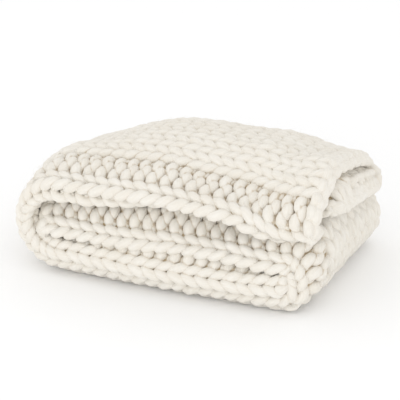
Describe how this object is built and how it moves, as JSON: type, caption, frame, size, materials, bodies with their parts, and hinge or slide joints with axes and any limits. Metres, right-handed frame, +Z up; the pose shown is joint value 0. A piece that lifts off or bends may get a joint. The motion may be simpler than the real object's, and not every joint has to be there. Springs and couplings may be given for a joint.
{
  "type": "folded chunky knit blanket",
  "caption": "Cream chunky hand-knit wool blanket, doubled and folded over into a soft pile, with a chain edge, a purl border and plump knit ribs.",
  "frame": {"origin": "bottom centre of the folded blanket's box, on the flat underside it lies on", "axes": "+X along the folded blanket towards the free end on top, +Y from the open front edges to the back fold, +Z up"},
  "size_m": [0.5905, 0.36, 0.2553],
  "materials": {
    "wool_yarn": "fluffy"
  },
  "bodies": {
    "root": {"knit_blanket": "wool_yarn"}
  },
  "joints": []
}
